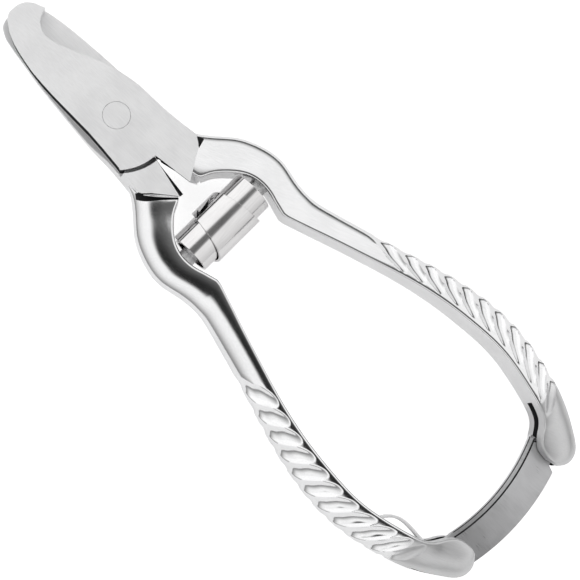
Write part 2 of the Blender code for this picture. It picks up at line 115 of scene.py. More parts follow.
# Handles. Each row is one section across the handle: outer edge x, y, inner edge x, y, then the height of the
# side that faces the same way as the lever's own blade plate and the height of the other side, then for each
# of those sides the exponent that makes it flat (high) or round (low).
SECTIONS = [
    (7.9, -10.8, 2.4, -16.0, 3.3, 1.2, 2.2, 4.0),
    (9.4, -13.4, 2.7, -19.4, 3.3, 3.1, 1.9, 2.1),
    (11.9, -16.4, 4.8, -20.7, 3.3, 3.2, 1.6, 1.8),
    (14.6, -19.7, 7.6, -23.0, 3.3, 3.3, 1.5, 1.7),
    (16.6, -24.4, 9.7, -25.9, 3.4, 3.4, 1.5, 1.7),
    (17.1, -29.0, 10.4, -29.4, 3.4, 3.4, 1.5, 1.7),
    (16.2, -33.6, 9.7, -33.0, 3.5, 3.5, 1.5, 1.65),
    (16.0, -38.2, 8.8, -36.3, 3.7, 3.7, 1.5, 1.5),
    (17.2, -43.4, 10.9, -42.6, 4.0, 4.0, 1.5, 1.3),
    (20.3, -54.1, 14.6, -53.7, 4.5, 4.5, 1.5, 1.3),
    (23.1, -62.9, 17.2, -62.4, 4.9, 4.9, 1.5, 1.3),
    (25.2, -70.7, 18.9, -70.3, 5.0, 5.0, 1.5, 1.3),
    (26.4, -78.4, 19.8, -78.0, 5.0, 5.0, 1.5, 1.3),
    (26.3, -86.5, 19.9, -85.8, 5.0, 5.0, 1.6, 1.3),
    (24.5, -95.0, 18.3, -94.0, 5.1, 5.1, 2.6, 1.3),
    (22.1, -101.6, 16.4, -99.4, 5.2, 5.2, 2.1, 1.8),
    (19.6, -106.0, 14.0, -101.4, 5.2, 5.2, 2.6, 2.4),
    (17.0, -109.2, 12.2, -103.0, 5.1, 5.1, 3.0, 3.0),
    (14.0, -109.8, 11.6, -104.4, 4.9, 4.9, 3.4, 3.4),
    (12.0, -108.4, 11.4, -105.8, 4.6, 4.6, 3.4, 3.4),
]
KNEE_SECTION = 7
INNER_ROUND = 0.5
FRONT_CROWN = 2.8
BACK_CROWN = 2.0
CROWN_STEPS = 26
ROUND_STEPS = 5
PLAIN_STEPS = 8

# Finger grooves: scoops that run inwards and towards the tail across each handle's rounded outer side.
GROOVES = 11
FIRST_GROOVE = 8.45
LAST_GROOVE = 14.15
GROOVE_STEPS = 16
GROOVE_DEPTH = 0.85
GROOVE_END = 0.14
GROOVE_FULL = 0.5
GROOVE_FADE = 0.7
GROOVE_EDGE = 0.75
GROOVE_SLANT = 1.2
SLANT_RAMP = 2.4
EDGE_SHARPNESS = 8
BACK_EASE = 0.375
BACK_LAG = 0.3

# Forked handle ends, the strap that ties them together, and its pins.
SLOT_HALF = 1.45
SLOT_ANGLE = math.radians(-20)
SLOT_REACH = 24.0
CATCH_SLOT_FLOOR = (19.5, -97.2)
HINGE_SLOT_FLOOR = (18.2, -99.8)
STRAP_HALF = 1.1
STRAP_CENTRE = (-1.8, -63.8)
STRAP_INNER = 39.8
STRAP_OUTER = 46.9
STRAP_CHAMFER = 1.1
STRAP_EDGE = 0.15
STRAP_RIM = [(1.0, 0.0), (0.75, 0.27), (0.15, 0.33), (0.0, 0.5)]
# Slot of the near-black steel on the strap's bevel: a painted dark reflection line.
STRAP_PAINTED_REFLECTION = 1
HINGE_PIN = (-15.9, -104.9)
CATCH_PIN = (15.3, -103.6)
HINGE_PIN_RADIUS = 1.25
CATCH_PIN_RADIUS = 1.1
PIN_HALF_LENGTH = 3.3
PIN_CLEARANCE = 0.3
HEEL_RADIUS = 3.0

# Barrel spring on its two studs. It lies along X between the necks of the handles.
SPRING_Y = -28.7
SPRING_HALF = 8.8
SPRING_RADIUS = 5.1
SPRING_THICKNESS = 0.55
COIL_PITCH = 0.8
COIL_LEAD = 5.5
COIL_START = -0.34
COIL_TIP = 1.0
COIL_LEAST = 0.4
COIL_SPLIT = 0.8
COIL_END = 2.1
COIL_STEPS = 60
COIL_BEVEL = 0.07
STUD_RADIUS = 1.7
STUD_COLLAR = 1.8
STUD_COLLAR_HEIGHT = 0.75
STUD_TIP = 5.6
STUD_SEAT = 9.7
STUD_FOOT = 1.0

# Leaf spring that arches out of the back lever's handle and bears on the strap's heel.
LEAF_HALF_WIDTH = 1.1
LEAF_THICKNESS = 0.6
LEAF_BEVEL = 0.12
LEAF_STEPS = 12

# Camera, counted from the origin, and the direction in the ground plane that is up in the picture.
CAMERA = (-43.1, -46.2, 259.8)
TARGET = (0.07, -47.3, 3.4)
PICTURE_UP = math.radians(44.2)
LENS = 82.9

# The white tent's dark opening is two soft discs: lean towards +X and +Y in degrees, and radius in degrees.
# It is fixed in the world, round the direction of the photograph's camera.
OPENING = [(-9, -3, 24), (-12, 12, 18)]
OPENING_SOFT = 4

# The floor, in metres. It glows more for the camera than it lights the tool, so that it reads as white paper.
FLOOR_HALF = 2.0
FLOOR_WHITE = 0.82
FLOOR_ROUGHNESS = 0.9
FLOOR_GLOW = 0.28
FLOOR_GLOW_SEEN = 0.7

# From the front lever's outline to the back lever's place.
HALF_TURN = Matrix.Rotation(math.pi, 4, "Y")


# ------------------------------------------------------------------------------------- mesh helpers


def mesh_from_bmesh(name, bm):
    bmesh.ops.recalc_face_normals(bm, faces=bm.faces)
    mesh = bpy.data.meshes.new(name)
    bm.to_mesh(mesh)
    bm.free()
    return mesh


def add_object(name, mesh, place=Matrix()):
    """An object at the origin whose mesh is placed relative to the tool's middle plane."""
    mesh.transform(Matrix.Translation((0.0, 0.0, JOINT_HALF * MM)) @ place)
    obj = bpy.data.objects.new(name, mesh)
    bpy.context.scene.collection.objects.link(obj)
    return obj


def arc(centre, radius, start, end, steps):
    """Points along an arc, with its angles in degrees."""
    angles = np.radians(np.linspace(start, end, steps + 1))
    return [(centre[0] + radius * math.cos(a), centre[1] + radius * math.sin(a)) for a in angles]


def ramp(value):
    """0 below 0 and 1 above 1, with a smooth step between."""
    value = min(max(value, 0.0), 1.0)
    return value * value * (3 - 2 * value)


def curvatures(rows):
    """The second derivatives that make a natural cubic spline through rows."""
    rows = np.array(rows, dtype=float)
    count = len(rows)
    system = np.zeros((count, count))
    system[0, 0] = system[-1, -1] = 1.0
    for i in range(1, count - 1):
        system[i, i - 1 : i + 2] = (1.0, 4.0, 1.0)
    right = np.zeros_like(rows)
    right[1:-1] = 6 * (rows[2:] - 2 * rows[1:-1] + rows[:-2])
    return np.linalg.solve(system, right)


class Curve:
    """A smooth curve through rows of numbers, where t = 0 is the first row and t = 1 the second."""

    def __init__(self, rows):
        self.rows = np.array(rows, dtype=float)
        self.bends = curvatures(rows)

    def at(self, t):
        last = len(self.rows) - 1
        i = int(min(max(math.floor(t), 0), last - 1))
        f = t - i
        g = 1 - f
        here, there = self.rows[i], self.rows[i + 1]
        bend_here, bend_there = self.bends[i], self.bends[i + 1]
        return g * here + f * there + ((g**3 - g) * bend_here + (f**3 - f) * bend_there) / 6

    def sampled(self, steps):
        last = len(self.rows) - 1
        return [tuple(self.at(t)) for t in np.linspace(0, last, last * steps + 1)]


def offsets(outline):
    """For each point of a counter-clockwise outline, the move that insets the outline by one unit."""
    points = np.array(outline)
    ahead = np.roll(points, -1, axis=0) - points
    ahead /= np.linalg.norm(ahead, axis=1)[:, None]
    normal = np.column_stack([-ahead[:, 1], ahead[:, 0]])
    before = np.roll(normal, 1, axis=0)
    return (normal + before) / np.maximum(1 + (normal * before).sum(axis=1), 0.35)[:, None]


def rim_profile(radius, steps=3):
    """(inset, drop) pairs of a rounded rim, from the flat face to the side wall."""
    angles = np.linspace(0.0, math.pi / 2, steps + 1)
    return [(radius * (1 - math.sin(a)), radius * (1 - math.cos(a))) for a in angles]


def rimmed_plate(name, outline, half, rim, chamfer=None):
    """A flat plate with rounded rims. chamfer, if given, scales the rim's inset at each outline point."""
    points = np.array(outline)
    inward = offsets(outline)
    reach = np.ones(len(points)) if chamfer is None else np.array(chamfer)
    bm = bmesh.new()
    rings = []
    levels = [(inset, half - drop) for inset, drop in rim]
    levels += [(inset, -height) for inset, height in reversed(levels)]
    for inset, height in levels:
        ring = points + inward * (inset * reach)[:, None]
        rings.append([bm.verts.new((x * MM, y * MM, height * MM)) for x, y in ring])
    for ring, after in zip(rings, rings[1:]):
        for i, vertex in enumerate(ring):
            j = (i + 1) % len(ring)
            bm.faces.new((vertex, after[i], after[j], ring[j]))
    bm.faces.new(rings[0])
    bm.faces.new(reversed(rings[-1]))
    return mesh_from_bmesh(name, bm)


def plate_mesh(name, outline, low, high):
    """A sharp-edged plate with this outline, from height low to height high."""
    bm = bmesh.new()
    lower = [bm.verts.new((x * MM, y * MM, low * MM)) for x, y in outline]
    upper = [bm.verts.new((x * MM, y * MM, high * MM)) for x, y in outline]
    for i in range(len(outline)):
        j = (i + 1) % len(outline)
        bm.faces.new((lower[i], lower[j], upper[j], upper[i]))
    bm.faces.new(upper)
    bm.faces.new(reversed(lower))
    return mesh_from_bmesh(name, bm)


def turned_mesh(name, profile, steps=96):
    """A shape of revolution about Z. The profile is (radius, height) from its top to its bottom."""
    bm = bmesh.new()
    rings = []
    for radius, height in profile:
        if radius == 0:
            rings.append([bm.verts.new((0.0, 0.0, height * MM))] * steps)
            continue
        ring = arc((0.0, 0.0), radius, 0, 360, steps)[:-1]
        rings.append([bm.verts.new((x * MM, y * MM, height * MM)) for x, y in ring])
    for ring, after in zip(rings, rings[1:]):
        for i in range(steps):
            j = (i + 1) % steps
            corners = dict.fromkeys((ring[i], ring[j], after[j], after[i]))
            bm.faces.new(list(corners))
    return mesh_from_bmesh(name, bm)


def lofted_mesh(name, rings):
    """A closed body through rings of equal length, with a flat cap on the first and the last."""
    bm = bmesh.new()
    loops = [[bm.verts.new(Vector(point) * MM) for point in ring] for ring in rings]
    for ring, after in zip(loops, loops[1:]):
        for i, vertex in enumerate(ring):
            j = (i + 1) % len(ring)
            bm.faces.new((vertex, ring[j], after[j], after[i]))
    bm.faces.new(reversed(loops[0]))
    bm.faces.new(loops[-1])
    return mesh_from_bmesh(name, bm)


def box_mesh(name, size):
    bm = bmesh.new()
    bmesh.ops.create_cube(bm, size=1.0, matrix=Matrix.Diagonal((*(v * MM for v in size), 1.0)))
    return mesh_from_bmesh(name, bm)


def finished_or_painted_faces(mesh, flat_slot, wall_slot):
    """The mesh with one slot on its level faces and another on its walls. A slot is a finish, or the
    near-black steel of painted shade and reflection.
    """
    for face in mesh.polygons:
        face.material_index = flat_slot if abs(face.normal.z) > 0.7 else wall_slot
    return mesh


def darkened_spine(mesh):
    """The mesh with the near-black steel on the walls that face -X: a painted dark reflection."""
    for face in mesh.polygons:
        if face.normal.x < -0.6:
            face.material_index = PAINTED_SHADE_AND_REFLECTION
    return mesh


def combined(name, start, steps):
    """What is left after each (mesh, place, operation) has been added to or taken from start."""
    body = bpy.data.objects.new(name, start)
    bpy.context.scene.collection.objects.link(body)
    tools = []
    for mesh, place, operation in steps:
        for material in start.materials:
            mesh.materials.append(material)
        tool = bpy.data.objects.new(mesh.name, mesh)
        tool.matrix_world = place
        bpy.context.scene.collection.objects.link(tool)
        modifier = body.modifiers.new(mesh.name, "BOOLEAN")
        modifier.operation = operation
        modifier.solver = "EXACT"
        modifier.object = tool
        tools.append(tool)
    graph = bpy.context.evaluated_depsgraph_get()
    mesh = bpy.data.meshes.new_from_object(body.evaluated_get(graph))
    for tool in (*tools, body):
        bpy.data.objects.remove(tool)
    mesh.name = name
    return mesh


def finish(obj, body, nodes, material=None, sharp=32):
    """Smooth shading with crisp edges, the material, and the piece's place in the frame."""
    if material:
        obj.data.materials.append(material)
    obj.data.shade_smooth()
    obj.data.set_sharp_from_angle(angle=math.radians(sharp))
    weighted = obj.modifiers.new("even_normals", "WEIGHTED_NORMAL")
    weighted.keep_sharp = True
    weighted.weight = 80
    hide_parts(*nodes)
    if body:
        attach(obj, body)
    return obj


# ------------------------------------------------------------------------------------------- levers


def front_blade():
    """The front lever's hooked blade, from its flank round the bite, the hook and the tip to its spine."""
    corner = (6.5, 6.3)
    throat = (1.75, 21.9)
    flank = [(8.5, -13.8), (8.15, -11.5), (7.85, -8.9), (7.55, -5.4), (7.45, -1.6), (7.25, 2.1), corner]
    bite = [corner, (5.3, 9.9), (4.15, 12.6), (3.05, 15.3), (2.0, 18.1), (1.5, 20.4), throat]
    hook = [throat, (2.6, 23.3), (3.7, 24.2), (5.5, 24.9)]
    tip = [(5.15, 25.6), (4.6, 27.0), (3.6, 28.2), (2.3, 28.9), (0.9, 29.05), (-0.4, 28.9), (-1.7, 27.9)]
    spine = [(-2.9, 26.1), (-4.0, 23.6), (-4.9, 20.0), (-5.6, 15.9), (-5.95, 11.0), (-6.1, 6.1), (-6.2, 1.3)]
    heel = [(-6.5, -2.6), (-7.0, -7.6)]
    return [*run(flank)[:-1], *run(bite)[:-1], *run(hook), *run(tip), *run(spine), *heel]


def back_blade():
    """The back lever's plain tongue-shaped blade, in that lever's own outline."""
    corner = (6.8, 6.3)
    end = (3.9, 26.4)
    flank = [(8.5, -13.8), (8.15, -11.5), (7.85, -8.9), (7.55, -5.4), (7.45, -1.6), (7.2, 2.1), corner]
    edge = [corner, (6.4, 10.0), (6.05, 13.5), (5.6, 17.0), (5.0, 20.5), (4.5, 23.7), end]
    tip = [end, (2.9, 28.1), (1.3, 28.9), (-0.6, 28.9), (-2.4, 28.4), (-3.9, 27.4), (-5.0, 25.8)]
    spine = [(-5.5, 24.5), (-6.2, 20.5), (-6.7, 15.3), (-7.0, 11.0), (-7.2, 6.0), (-7.2, 1.0)]
    heel = [(-7.1, -3.5), (-7.0, -7.6)]
    return [*run(flank)[:-1], *run(edge)[:-1], *run(tip), *run(spine), *heel]


def run(points):
    """A smooth stretch of outline through points."""
    return Curve(points).sampled(OUTLINE_STEPS)


def plate_outline(blade):
    """A lever's blade and shoulder, counter-clockwise from the shoulder's low corner."""
    lap = arc((0.0, 0.0), PLATE_ARC, *PLATE_ARC_ANGLES, 40)
    return [SHOULDER_LOW, SHOULDER_NOTCH, *blade, *lap, SHOULDER_HIGH]


def blade_mesh(name, blade):
    """The blade plate. Its front face falls away towards the tip."""
    mesh = rimmed_plate(name, plate_outline(blade), JOINT_HALF, rim_profile(RIM))
    bm = bmesh.new()
    bm.from_mesh(mesh)
    for y in np.arange(TAPER_START, TAPER_END, TAPER_CUT):
        geometry = bm.verts[:] + bm.edges[:] + bm.faces[:]
        bmesh.ops.bisect_plane(bm, geom=geometry, plane_co=(0.0, y * MM, 0.0), plane_no=(0.0, 1.0, 0.0))
    for vertex in bm.verts:
        x, y, z = vertex.co / MM
        if z < 0:
            vertex.co.xy += Vector(wall_lean(x, y)) * MM
        beyond = max(y - TAPER_START, 0.0)
        soft = min(beyond, TAPER_BLEND)
        drop = TAPER_SLOPE * (soft * soft / (2 * TAPER_BLEND) + beyond - soft)
        vertex.co.z -= drop * max(z, 0.0) / JOINT_HALF * MM
    bm.to_mesh(mesh)
    bm.free()
    return mesh


def wall_lean(x, y):
    """How far the plate's lower rim is moved sideways at this point of the outline."""
    if math.dist((x, y), SHOULDER_LOW) < 1.0:
        return SHOULDER_DRAFT
    if math.dist((x, y), SHOULDER_HIGH) < 0.5:
        return SHOULDER_HIGH_DRAFT
    if x > OUTER_FLANK:
        return (-OUTER_DRAFT * ramp((OUTER_DRAFT_START - y) / OUTER_DRAFT_LENGTH), 0.0)
    return (0.0, 0.0)


def pocket_outline():
    """What the other lever's blade plate needs cleared away from the back half of this one."""
    seat = arc(POCKET_CENTRE, POCKET_ARC, *POCKET_ARC_ANGLES, 40)
    low = seat[0][1]
    far = [(POCKET_REACH, seat[-1][1]), (POCKET_REACH, POCKET_REACH), (-POCKET_REACH, POCKET_REACH)]
    return [(-POCKET_REACH, low), (seat[0][0], low), *seat, *far]


def facet_step_outline():
    """The wedge-shaped step between the shoulder's flush facet and the neck."""
    neck = [(3.1, -20.0), (5.33, -17.9), (7.01, -16.4), (8.3, -14.9), (9.2, -12.9)]
    side = [(11.0, -12.7), (11.0, -12.2)]
    facet = [(8.4, -12.2), (7.67, -13.5), (6.92, -14.9), (5.57, -16.7), (4.05, -18.4), (2.5, -20.1)]
    return [*run(neck), *side, *run(facet)]


def crown(width, height, exponent):
    """One face of a section, from the flat inner side at distance 0 over the crown to the outer edge."""
    corner = np.linspace(0.0, math.pi / 2, ROUND_STEPS + 1)[:-1]
    quarter = np.linspace(0.0, math.pi / 2, CROWN_STEPS + 1)
    across = INNER_ROUND + (width - INNER_ROUND) * np.sin(quarter) ** (2 / exponent)
    heights = np.cos(quarter) ** (2 / (FRONT_CROWN if height > 0 else BACK_CROWN)) * height
    round_across = INNER_ROUND * (1 - np.cos(corner))
    round_heights = height - math.copysign(INNER_ROUND, height) * (1 - np.sin(corner))
    rounded = np.column_stack([round_across, round_heights])
    return np.vstack([rounded, np.column_stack([across, heights])])


def section_profile(width, front, back, front_exponent, back_exponent, turn):
    """One handle section as (distance from the inner edge, height), counter-clockwise from the front face."""
    upper = crown(width, front, front_exponent)
    lower = crown(width, -back, back_exponent)
    ring = np.vstack([upper, lower[-2::-1]])
    return [scooped(a, z, a / width, turn) for a, z in ring]


def scooped(across, height, share, turn):
    """The section point pushed in by a groove: straight down on the faces, inwards at the outer edge."""
    depth = groove_depth(share, turn)
    outward = share**EDGE_SHARPNESS
    return across - depth * outward, height - math.copysign(depth * (1 - outward), height)


def groove_depth(share, turn):
    """A scoop's depth at this share of the width. Turn is the place across it, from -1 to 1, or None."""
    if turn is None:
        return 0.0
    short = min(max((GROOVE_FULL - share) / (GROOVE_FULL - GROOVE_END), 0.0), 1.0)
    beyond = max((share - GROOVE_FADE) / (1 - GROOVE_FADE), 0.0)
    room = 1 - short * short - GROOVE_EDGE * beyond * beyond
    return GROOVE_DEPTH * max(room - turn * turn, 0.0)


def groove_turn(t):
    """Where section t lies across its groove, from -1 to 1, or None beyond the grooves."""
    turns = (t - FIRST_GROOVE) / (LAST_GROOVE - FIRST_GROOVE) * GROOVES
    if not 0 < turns < GROOVES:
        return None
    return 2 * (turns % 1.0) - 1


def slant(t):
    """How far the inner edge lags behind the outer edge, in rows of SECTIONS."""
    rise = ramp((t - FIRST_GROOVE + SLANT_RAMP) / SLANT_RAMP)
    fall = ramp((LAST_GROOVE + SLANT_RAMP - t) / SLANT_RAMP)
    return GROOVE_SLANT * rise * fall


def groove_lag(share, height):
    """How far a section lags here: more towards the inner edge, and less steeply on the back."""
    back = 0.5 - height / 10.0
    return (1 - share) * (1 - BACK_EASE * back) + BACK_LAG * back


def section_place(curve, t):
    """The outer edge, the inner edge and the profile values of the handle at t along SECTIONS."""
    row = curve.at(t)
    if abs(t - KNEE_SECTION) < 1:
        corner = np.array(SECTIONS[KNEE_SECTION][2:4])
        side = 1 if t > KNEE_SECTION else -1
        beyond = np.array(SECTIONS[KNEE_SECTION + side][2:4])
        row[2:4] = corner + (beyond - corner) * abs(t - KNEE_SECTION)
    return row


def section_ring(curve, t):
    """The points of one section, slanted so that the grooves follow the mesh."""
    row = section_place(curve, t)
    width = np.linalg.norm(row[0:2] - row[2:4])
    ring = []
    for across, height in section_profile(width, *row[4:8], groove_turn(t)):
        share = across / width
        here = section_place(curve, t + slant(t) * groove_lag(share, height))
        x, y = here[2:4] + (here[0:2] - here[2:4]) * share
        ring.append((x, y, height))
    return ring


def section_steps():
    """Where sections are cut: evenly along the plain stretches, and a fixed number for each groove."""
    neck = np.linspace(0.0, FIRST_GROOVE, round(FIRST_GROOVE * PLAIN_STEPS) + 1)
    grooves = np.linspace(FIRST_GROOVE, LAST_GROOVE, GROOVES * GROOVE_STEPS + 1)
    end = len(SECTIONS) - 1
    bulb = np.linspace(LAST_GROOVE, end, round((end - LAST_GROOVE) * PLAIN_STEPS) + 1)
    return [*neck, *grooves[1:], *bulb[1:]]


def handle_mesh(name):
    curve = Curve(SECTIONS)
    return lofted_mesh(name, [section_ring(curve, t) for t in section_steps()])


def lever_mesh(name, slot_floor, blade, materials):
    """A whole lever in the front lever's own outline."""
    here = Matrix()
    deep = 2 * JOINT_HALF
    slot_turn = Matrix.Rotation(SLOT_ANGLE, 4, "Z")
    slot_centre = Vector((*slot_floor, 0.0)) + slot_turn @ Vector((0.0, -SLOT_REACH / 2, 0.0))
    slot_place = Matrix.Translation(slot_centre * MM) @ slot_turn
    bore_radius = RIVET_RADIUS + HAIRLINE
    bore = turned_mesh("bore", [(0.0, deep), (bore_radius, deep), (bore_radius, -deep), (0.0, -deep)])
    plate = finished_or_painted_faces(blade_mesh("blade", blade), SATIN, POLISHED)
    pocket = plate_mesh("pocket", pocket_outline(), -deep, LAP_GAP / 2)
    step = plate_mesh("step", facet_step_outline(), -deep, -STEP_FLOOR)
    notch = plate_mesh("notch", NOTCH, JOINT_HALF - NOTCH_DEPTH, deep)
    slot = box_mesh("slot", (SLOT_REACH, SLOT_REACH, 2 * SLOT_HALF))
    # Near-black steel on the spine and in the cuts: painted dark reflection and painted shade.
    steps = [
        (darkened_spine(plate), here, "UNION"),
        (finished_or_painted_faces(pocket, SATIN, PAINTED_SHADE_AND_REFLECTION), here, "DIFFERENCE"),
        (finished_or_painted_faces(step, PAINTED_SHADE_AND_REFLECTION, PAINTED_SHADE_AND_REFLECTION), here, "DIFFERENCE"),
        (finished_or_painted_faces(notch, PAINTED_SHADE_AND_REFLECTION, PAINTED_SHADE_AND_REFLECTION), here, "DIFFERENCE"),
        (finished_or_painted_faces(bore, SATIN, PAINTED_SHADE_AND_REFLECTION), here, "DIFFERENCE"),
        (finished_or_painted_faces(slot, PAINTED_SHADE_AND_REFLECTION, PAINTED_SHADE_AND_REFLECTION), slot_place, "DIFFERENCE"),
    ]
    handle = handle_mesh(name)
    for material in materials:
        handle.materials.append(material)
    return combined(name, handle, steps)


def make_levers(materials):
    front_mesh = lever_mesh("front_lever_steel", CATCH_SLOT_FLOOR, front_blade(), materials)
    back_mesh = lever_mesh("back_lever_steel", HINGE_SLOT_FLOOR, back_blade(), materials)
    front = add_object("front_lever_steel", front_mesh)
    finish(front, "front", ["front_lever"])
    back = add_object("back_lever_steel", back_mesh, HALF_TURN)
    finish(back, "back", ["back_lever"])


# ---------------------------------------------------------------------------- rivet, studs and pins


def turned_piece(name, profile, place, material, body, node):
    return finish(add_object(name, turned_mesh(name, profile), place), body, [node], material)


def chamfered_pin(radius, half, edge):
    """The profile of a pin whose two ends are chamfered by edge."""
    return [
        (0.0, half),
        (radius - edge, half),
        (radius, half - edge),
        (radius, edge - half),
        (radius - edge, -half),
        (0.0, -half),
    ]


def along_x():
    """Turns a shape drawn along +Z so that it runs along +X through the barrel spring."""
    return Matrix.Translation((0.0, SPRING_Y * MM, 0.0)) @ Matrix.Rotation(math.pi / 2, 4, "Y")


def stud_profile():
    """A stepped stud, from its foot in the neck to the nose inside the barrel spring."""
    collar_face = STUD_SEAT - STUD_COLLAR_HEIGHT
    return [
        (0.0, STUD_SEAT + STUD_FOOT),
        (STUD_COLLAR - 0.1, STUD_SEAT + STUD_FOOT),
        (STUD_COLLAR, STUD_SEAT + 0.9),
        (STUD_COLLAR, collar_face + 0.12),
        (STUD_COLLAR - 0.12, collar_face),
        (STUD_RADIUS, collar_face - 0.05),
        (STUD_RADIUS, STUD_TIP + 0.5),
        (STUD_RADIUS - 0.15, STUD_TIP + 0.15),
        (STUD_RADIUS - 0.5, STUD_TIP),
        (0.0, STUD_TIP),
    ]


# ------------------------------------------------------------------------------------ barrel spring


def coil_edges(turn):
    """How far from the middle one arm of the V-shaped strip starts and ends, at this many turns."""
    outer = min(SPRING_HALF, COIL_LEAD * (turn - COIL_START) + COIL_TIP)
    inner = max(0.0, COIL_LEAD * (turn - COIL_SPLIT))
    return min(inner, outer - COIL_LEAST), outer


def coil_section(turn):
    """The four corners of the strip's section at this many turns, wound about X."""
    radius = SPRING_RADIUS - COIL_PITCH * turn
    angle = math.tau * turn + math.pi / 2
    ring = []
    inner, outer = coil_edges(turn)
    half = SPRING_THICKNESS / 2
    low = radius - half
    high = radius + half
    for along, r in ((inner, low), (outer, low), (outer, high), (inner, high)):
        ring.append(Vector((along, r * math.sin(angle), -r * math.cos(angle))) * MM)
    return ring


def half_coil_mesh(name):
    """One half of the double volute: the strip is open at x = 0 until the arms of its V part."""
    bm = bmesh.new()
    count = round((COIL_END - COIL_START) * COIL_STEPS)
    turns = np.linspace(COIL_START, COIL_END, count + 1)
    loops = [[bm.verts.new(point) for point in coil_section(t)] for t in turns]
    for ring, after in zip(loops, loops[1:]):
        sides = 4 if after[0].co.x > 0 else 3
        for i in range(sides):
            j = (i + 1) % 4
            bm.faces.new((ring[i], ring[j], after[j], after[i]))
    bm.faces.new(loops[0])
    bm.faces.new(reversed(loops[-1]))
    return mesh_from_bmesh(name, bm)


def apply_modifiers(obj):
    """Makes the mesh final, because a blend weighs the mesh that its modifiers start from."""
    graph = bpy.context.evaluated_depsgraph_get()
    final = bpy.data.meshes.new_from_object(obj.evaluated_get(graph))
    obj.modifiers.clear()
    obj.data = final


def make_spring(material):
    place = Matrix.Translation((0.0, SPRING_Y * MM, 0.0))
    mesh = half_coil_mesh("barrel_spring")
    spring = add_object("barrel_spring", mesh, place)
    mirror = spring.modifiers.new("other_half", "MIRROR")
    mirror.merge_threshold = 0.00001
    edge = spring.modifiers.new("soft_edge", "BEVEL")
    edge.width = COIL_BEVEL * MM
    edge.segments = 2
    edge.angle_limit = math.radians(40)
    apply_modifiers(spring)
    finish(spring, None, ["buffer_spring"], material, sharp=50)
    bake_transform(spring)


# -------------------------------------------------------------------------------------- catch strap


def make_strap(materials):
    """A flat arched plate with a ground bevel along its inner edge, from its heel to its hook."""
    heel = arc(HINGE_PIN, HEEL_RADIUS, 75, 285, 36)
    outer = arc(STRAP_CENTRE, STRAP_OUTER, 256.5, 285.5, 48)
    inner = arc(STRAP_CENTRE, STRAP_INNER, 292.0, 255.5, 60)
    x, y = CATCH_PIN
    seat = arc(CATCH_PIN, CATCH_PIN_RADIUS + PIN_CLEARANCE, -40, -175, 24)
    end = [(11.3, -107.5), (13.2, -107.3), (17.5, -105.9), (x + 3.5, y + 0.4), (x + 3.0, y + 1.4)]
    outline = [*heel, *outer, *end, *seat, *inner]
    before_inner = len(outline) - len(inner)
    chamfer = [STRAP_CHAMFER if i >= before_inner else STRAP_EDGE for i in range(len(outline))]
    mesh = rimmed_plate("catch_strap_steel", outline, STRAP_HALF, STRAP_RIM, chamfer)
    for material in materials:
        mesh.materials.append(material)
    # The large faces of the inner bevel take the near-black steel: a painted dark reflection line along the
    # strap.
    for face in mesh.polygons:
        on_bevel = 0.6 < face.normal.z < 0.85 and face.area > 0.1 * MM * MM
        face.material_index = STRAP_PAINTED_REFLECTION if on_bevel else 0
    strap = add_object("catch_strap_steel", mesh)
    finish(strap, "strap", ["catch_strap"], sharp=25)


# -------------------------------------------------------------------------------------- leaf spring


def make_leaf(material):
    """A narrow leaf spring with rounded edges, drawn as a curve along its middle line and thickened."""
    arch = [(-21.2, -89.2), (-19.2, -90.3), (-17.4, -91.8)]
    leg = [(-16.5, -94.3), (-16.6, -97.6), (-16.8, -101.2)]
    line = Curve([*arch, *leg]).sampled(LEAF_STEPS)
    mesh = bpy.data.meshes.new("catch_leaf_steel")
    low = [(x * MM, y * MM, -LEAF_HALF_WIDTH * MM) for x, y in line]
    high = [(x * MM, y * MM, LEAF_HALF_WIDTH * MM) for x, y in line]
    count = len(line)
    faces = [(i, i + 1, count + i + 1, count + i) for i in range(count - 1)]
    mesh.from_pydata(low + high, [], faces)
    leaf = add_object("catch_leaf_steel", mesh)
    shell = leaf.modifiers.new("thickness", "SOLIDIFY")
    shell.thickness = LEAF_THICKNESS * MM
    shell.offset = 0.0
    shell.use_even_offset = True
    edge = leaf.modifiers.new("soft_edge", "BEVEL")
    edge.width = LEAF_BEVEL * MM
    edge.segments = 2
    edge.angle_limit = math.radians(40)
    finish(leaf, "back", ["catch_spring"], material, sharp=50)


# ---------------------------------------------------------------------------------------- materials


